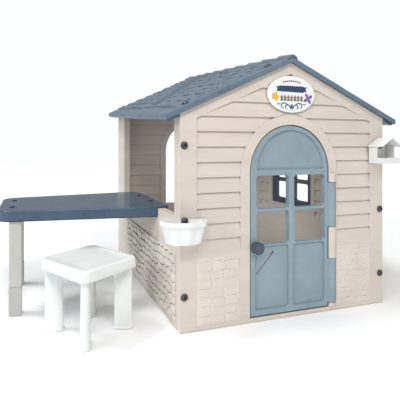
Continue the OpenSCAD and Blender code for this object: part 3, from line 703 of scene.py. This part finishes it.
# %% Gable edge under the verge
# Behind the verge's lip the gable's own skin goes up a little further, as two sloping strips.
# They stop 0.1 mm short of the middle, so they stay two closed solids.
STRIP_OUT = 1.2  # how far the strips' fronts stand out from the walls
edge_x = np.linspace(0.1, house_w / 2, 40)
edge_x, edge_ups = np.meshgrid(edge_x, np.linspace(-1, LIP_UP, 3), indexing="ij")
edge_runs = (edge_x - edge_ups * sin(lean)) / cos(lean)
for name, y, way_in in (("gable_edge_front", -STRIP_OUT, 1.0),
                        ("gable_edge_back", house_d + STRIP_OUT, -1.0)):
    strips = [roof_point(side, edge_runs, edge_ups, y) for side in (-1, 1)]
    piece(name, relief(name, strips, np.array([0, way_in * MM, 0])), cream, body="house")
print("gable edges", made[-2:])

# %% [markdown]
# ## Screw heads
# The panels are held by big plastic screws with domed heads and a hexagon socket for the key.
# A head is a profile turned round its axis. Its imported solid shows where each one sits.

# %% Domed head turned round an axis
def dome(where, axis, length, radius=16.5, tall=10.0, shank=6.0, turn=48):
    """Rings of a turned profile: socket floor, socket wall, dome, flange and shank, placed at where
    with its axis along axis. Radius follows the profile, height goes up the axis. In the socket
    the radius is times 1 / cos(angle from the nearest flat's middle), which draws a hexagon."""
    socket = [(0.01, 4.2), (4.6, 4.2), (4.9, 4.6), (5.2, tall - 0.6)]
    top = radians(72)
    arc = np.linspace(top, 0, 9)
    crown = [(radius * 0.93 * np.cos(t), 2.4 + (tall - 2.4) * np.sin(t) / np.sin(top)) for t in arc]
    flange = [(radius - 0.3, 2.2), (radius, 1.4), (radius, 0.3), (radius - 0.3, 0.02)]
    stem = [(shank, 0.02), (shank, -length), (0.01, -length)]
    profile = np.array(socket + crown + flange + stem)
    a = np.arange(turn) * 2 * pi / turn
    axis = np.array(axis, float) / np.linalg.norm(axis)
    helper = np.array([0, 0, 1.0]) if abs(axis[2]) < 0.9 else np.array([1.0, 0, 0])
    e1 = np.cross(helper, axis)
    e1 /= np.linalg.norm(e1)
    e2 = np.cross(axis, e1)
    hexagon = 1 / np.cos((a + pi / 6) % (pi / 3) - pi / 6)
    in_socket = np.arange(len(profile))[:, None] < 3
    r = profile[:, :1] * np.where(in_socket, 0.92 * hexagon[None], 1.0)
    ring = r[..., None] * (np.cos(a)[:, None] * e1 + np.sin(a)[:, None] * e2)
    return np.array(where) + MM * (ring + profile[:, 1][:, None, None] * axis)


print("a screw head is", len(dome((0, 0, 0), (0, 0, 1), 60)), "rings")


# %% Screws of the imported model
def clouds(node):
    """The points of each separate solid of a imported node. Every point starts with its own number,
    and both ends of an edge take the smaller one of their numbers until nothing changes."""
    work = bmesh.new()
    work.from_mesh(frame["nodes"][node].data)
    bmesh.ops.remove_doubles(work, verts=work.verts, dist=1e-5)
    work.verts.index_update()
    points = np.array([v.co[:] for v in work.verts])
    ends = np.array([[v.index for v in e.verts] for e in work.edges])
    work.free()
    number, before = np.arange(len(points)), None
    while not np.array_equal(number, before):
        before = number.copy()
        smaller = number[ends].min(1)
        np.minimum.at(number, ends[:, 0], smaller)
        np.minimum.at(number, ends[:, 1], smaller)
    return [points[number == k] for k in np.unique(number)]


def turned(node, finish):
    """Replaces every screw of a node by a domed one. The widest ring of points is the flange, and
    the way from the far end to it is the axis."""
    grids = []
    for cloud in clouds(node):
        middle = cloud.mean(0)
        axis = np.linalg.svd(cloud - middle)[2][0]
        along = (cloud - middle) @ axis
        away = np.linalg.norm((cloud - middle) - along[:, None] * axis, axis=1)
        wide = along[away > away.max() - 0.4 * MM]
        if wide.mean() < 0:
            axis, along, wide = -axis, -along, -wide
        seat = wide.min()
        grids.append(dome(middle + axis * seat, axis, (seat - along.min()) / MM))
    piece(node + "_look", shell(node + "_look", grids, 36), finish, node)


for node_name in ("roof_screws", "wall_screws_front", "wall_screws_back", "hanging_screws"):
    turned(node_name, cap_dark)
print("screws", made[-4:])

# %% [markdown]
# ## Planter
# A thin trough with three lobes, wider at the rim, and a rolled band round the top. Its plan is
# one closed curve that shrinks towards the foot; the wall goes up outside and down inside.

# %% Planter as a loft of lobed rings
def lobes(width, depth, count=150):
    """Closed plan curve: a straight back and three round lobes in front. Each lobe is half an
    oval, and (a^6 + b^6)^(1/6) joins them with a soft crease."""
    x = width / 2 * np.cos(pi + np.linspace(0, 1, count) * pi)
    middle = np.sqrt(np.clip(1 - (x / (0.29 * width)) ** 2, 0, 1))
    sides = 0.86 * np.sqrt(np.clip(1 - ((np.abs(x) - 0.27 * width) / (0.23 * width)) ** 2, 0, 1))
    front = -depth * (middle ** 6 + sides ** 6) ** (1 / 6)
    front[[0, -1]] = 0.0
    back = np.stack([np.linspace(width / 2, -width / 2, 12)[1:-1], np.zeros(10)], -1)
    return np.concatenate([np.stack([x, front], -1), back])


pot_low, pot_high = local("planter")
pot_x = (pot_low[0] + pot_high[0]) / 2
pot_w, pot_d = pot_high[0] - pot_low[0], -pot_low[1]
pot_h = pot_high[2] - pot_low[2]
# Each row: height, then how much narrower, less deep and further forward than the rim the plan is
outer = [(0, -58, -26, 0), (1.5, -53, -23, 0), (6, -50, -21, 0), (pot_h - 24, -14, -8, 0)]
band = [(pot_h - 22, -13, -7, 0), (pot_h - 21, -3, -2, 0), (pot_h - 19, 0, 0, 0),
        (pot_h - 3, 0, 0, 0), (pot_h - 0.8, -1, -0.6, 0), (pot_h, -3, -2, 0)]
inner = [(pot_h, -6, -4, 4), (pot_h - 1, -8, -5, 4), (pot_h - 30, -22, -12, 4),
         (6, -58, -28, 4), (3, -64, -32, 5)]
rings = []
for z, narrower, shallower, forward in outer + band + inner:
    plan = lobes(pot_w + narrower, pot_d + shallower - forward)
    rings.append(place(pot_x + plan[:, 0], plan[:, 1] - forward, pot_low[2] + z))
piece("planter_look", shell("planter_look", [np.array(rings)], 50), white, "planter")
print("planter", round(pot_w), "x", round(pot_d), "x", round(pot_h), "mm")

# %% [markdown]
# ## Stool
# The stool is one seat with a deep skirt and four legs. The seat is a square with round corners
# whose outline shrinks as it goes over the edge. The legs are long ovals set on the diagonals,
# a little wider at the foot, with a flared shoe.

# %% Seat
TURN = radians(32)  # how the stool stands on the floor
SEAT_HALF, SEAT_CORNER = 154.0, 34.0
seat_box = [np.array(c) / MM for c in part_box("stool_seat")]
seat_foot, seat_top = seat_box[0][2], seat_box[1][2]
stool_mid = (seat_box[0] + seat_box[1]) / 2 - corner / MM


def square_plan(half, r, count=14):
    """Closed plan of a square with round corners: four quarter arcs of radius r round the corners."""
    parts = []
    for k in range(4):
        a = k * pi / 2 + np.linspace(0, pi / 2, count)
        c = (half - r) * np.array([[1, 1], [-1, 1], [-1, -1], [1, -1]][k])
        parts.append(np.stack([c[0] + r * np.cos(a), c[1] + r * np.sin(a)], -1))
    return np.concatenate(parts)


def stool_place(plan, z):
    """Turns a plan drawn about the seat's middle and lifts it to height z."""
    x = plan[..., 0] * cos(TURN) - plan[..., 1] * sin(TURN)
    y = plan[..., 0] * sin(TURN) + plan[..., 1] * cos(TURN)
    return place(stool_mid[0] + x, stool_mid[1] + y, z)


# Section from the middle below, over the skirt, to the middle on top: height, and how far inside
below = [(seat_top - 5, 60), (seat_top - 5, 12), (seat_top - 9, 6), (seat_foot + 1, 5), (seat_foot, 4)]
skirt = [(seat_foot, 1.2), (seat_foot + 1.2, 0), (seat_top - 14, 1.6), (seat_top - 7, 2.6)]
above = [(seat_top - 3, 4.6), (seat_top - 0.8, 8), (seat_top, 12), (seat_top, 26), (seat_top - 1.2, 29),
         (seat_top - 1.4, 60)]
rings = []
for z, inset in below + skirt + above:
    plan = square_plan(SEAT_HALF - inset, max(SEAT_CORNER - 0.55 * inset, 5))
    rings.append(stool_place(plan, z))
piece("stool_seat_look", shell("stool_seat_look", [np.array(rings)], 50), white, "stool_seat")
print("seat", 2 * SEAT_HALF, "mm wide,", round(seat_top), "mm high")

# %% Legs and shoes
LEG_OUT = 105  # from the seat's middle to a leg's, along either side


def oval(length, width, count=40):
    """Closed plan of a long oval: |x/a|^n + |y/b|^n = 1 with n = 3, drawn by its angle."""
    a = np.linspace(0, 2 * pi, count, endpoint=False)
    c, s = np.cos(a), np.sin(a)
    x = length / 2 * np.sign(c) * np.abs(c) ** (2 / 3)
    y = width / 2 * np.sign(s) * np.abs(s) ** (2 / 3)
    return np.stack([x, y], -1)


def on_corner(plan, k):
    """Moves a plan out to the stool's k-th corner, its long axis on the diagonal."""
    a = pi / 4 + k * pi / 2
    out = plan[..., 0] + LEG_OUT * sqrt(2)
    return np.stack([out * cos(a) - plan[..., 1] * sin(a), out * sin(a) + plan[..., 1] * cos(a)], -1)


# Each row: height, length and width of the oval
leg_rows = [(13, 80, 41), (60, 79, 40), (160, 77, 38.5), (seat_foot - 1, 76, 37.5), (seat_foot, 74, 36),
            (seat_foot + 0.5, 64, 33), (seat_top - 5, 64, 33)]
shoe_rows = [(0, 86, 46), (1.5, 90, 51), (5, 91, 52), (7, 89, 50), (11, 83, 44), (14, 80, 41)]
for node_name, rows in (("stool_legs", leg_rows), ("stool_feet", shoe_rows)):
    grids = [np.array([stool_place(on_corner(oval(a, b), k), z) for z, a, b in rows]) for k in range(4)]
    piece(node_name + "_look", shell(node_name + "_look", grids, 40), white, node_name)
print("stool", made[-3:])

# %% [markdown]
# ## Printed sign
# The oval sign carries a printed film: a ribbon, a flower, a butterfly, a little picket fence
# and flourishes. Each print is a thin raised shape. Flat outlines are closed curves, and the
# flourishes are bands whose heading turns faster and faster, which draws a neat curl.

# %% Flat prints
sign_low, sign_high = local("name_plaque")
sign = (sign_low + sign_high) / 2
INK_FRONT, INK_BACK = sign_low[1] - 0.9, sign_low[1] + 0.6


def ink(outline):
    """A thin prism over a flat outline drawn about the sign's middle, across and up."""
    x, z = sign[0] + outline[:, 0], sign[2] + outline[:, 1]
    return np.array([place(x, INK_FRONT, z), place(x, INK_BACK, z)])


def polar(mid, radius, count=80, turn=0.0):
    """Closed outline round mid: at angle a its distance is radius(a)."""
    a = np.linspace(0, 2 * pi, count, endpoint=False)
    r = radius(a)
    return np.stack([mid[0] + r * np.cos(a + turn), mid[1] + r * np.sin(a + turn)], -1)


ribbon = np.array([(-66, 12), (66, 9), (66, 14), (82, 12), (76, 24), (83, 35), (66, 35), (66, 38), (-66, 38),
                   (-66, 34), (-82, 35), (-76, 24), (-82, 12), (-66, 14.0)])
flower = polar((-88, -12), lambda a: 11.5 + 8.5 * np.abs(np.cos(2.5 * a)) ** 0.8)
butterfly = polar((90, -17), lambda a: 5 + 21 * np.abs(np.sin(2 * a)) ** 1.1, 96, turn=radians(-14))
dots = [ink(polar((x, 61 - x * x / 300), lambda a: 3.7 + 0 * a, 12)) for x in np.linspace(-44, 44, 9)]
picket = np.array([(-5, -32), (5, -32), (5, -9), (0, -3), (-5, -9.0)])
pickets = [ink(picket + (x, 0)) for x in np.arange(-54, 55, 18)]
rail = np.array([(-62, 0), (62, 0), (62, 3.4), (-62, 3.4)])
rails = [ink(rail + (0, z)) for z in (-27, -16.5)]
for node_name, grids, finish in (("plaque_flower", [ink(flower)], print_gold),
                                 ("plaque_butterfly", [ink(butterfly)], print_plum),
                                 ("plaque_ribbon", [ink(ribbon)] + dots, print_navy)):
    piece(node_name + "_look", shell(node_name + "_look", grids), finish, node_name)
piece("plaque_fence", shell("plaque_fence", pickets + rails), print_taupe, body="house")
print("prints", made[-4:])


# %% Flourishes
def curl(start, heading, length, turn, side, wide=2.6, count=44):
    """A band whose heading is heading + turn * s^2 at the part s of its length. It is mirrored
    by side and thins out to both ends."""
    s = np.linspace(0, 1, count)
    way = heading + turn * s ** 2
    step = length / (count - 1)
    x = start[0] + np.concatenate([[0], np.cumsum(np.cos(way[1:]))]) * step
    z = start[1] + np.concatenate([[0], np.cumsum(np.sin(way[1:]))]) * step
    half = wide / 2 * (0.35 + 0.65 * np.sin(pi * s) ** 0.7)
    rims = []
    for k, y in ((1, INK_FRONT), (-1, INK_FRONT), (-1, INK_BACK), (1, INK_BACK)):
        across = side * (x + k * half * -np.sin(way))
        upward = z + k * half * np.cos(way)
        rims.append(place(sign[0] + across, y, sign[2] + upward))
    return np.stack(rims, 1)


curls = []
for side in (-1, 1):
    curls.append(curl((4, -72), radians(75), 62, -4.6, side, 5.0))
    curls.append(curl((22, -47), radians(28), 62, -4.4, side, 4.6))
    curls.append(curl((60, -42), radians(-40), 22, 2.6, side, 3.6))
drop = polar((0, -56), lambda a: 5.0 + 5.5 * np.abs(np.sin(a)) ** 3, 40)
piece("plaque_scroll_look", shell("plaque_scroll_look", curls + [ink(drop)]), print_navy, "plaque_scroll")
print("sign", made[-5:])

# %% [markdown]
# ## Last count
# The new pieces and their faces are counted before the scene is finished. The looks may not
# outgrow the imported box by more than a few millimetres.

# %% Count the pieces and finish
print("pieces", len(made), "faces", sum(count for _, count in made))
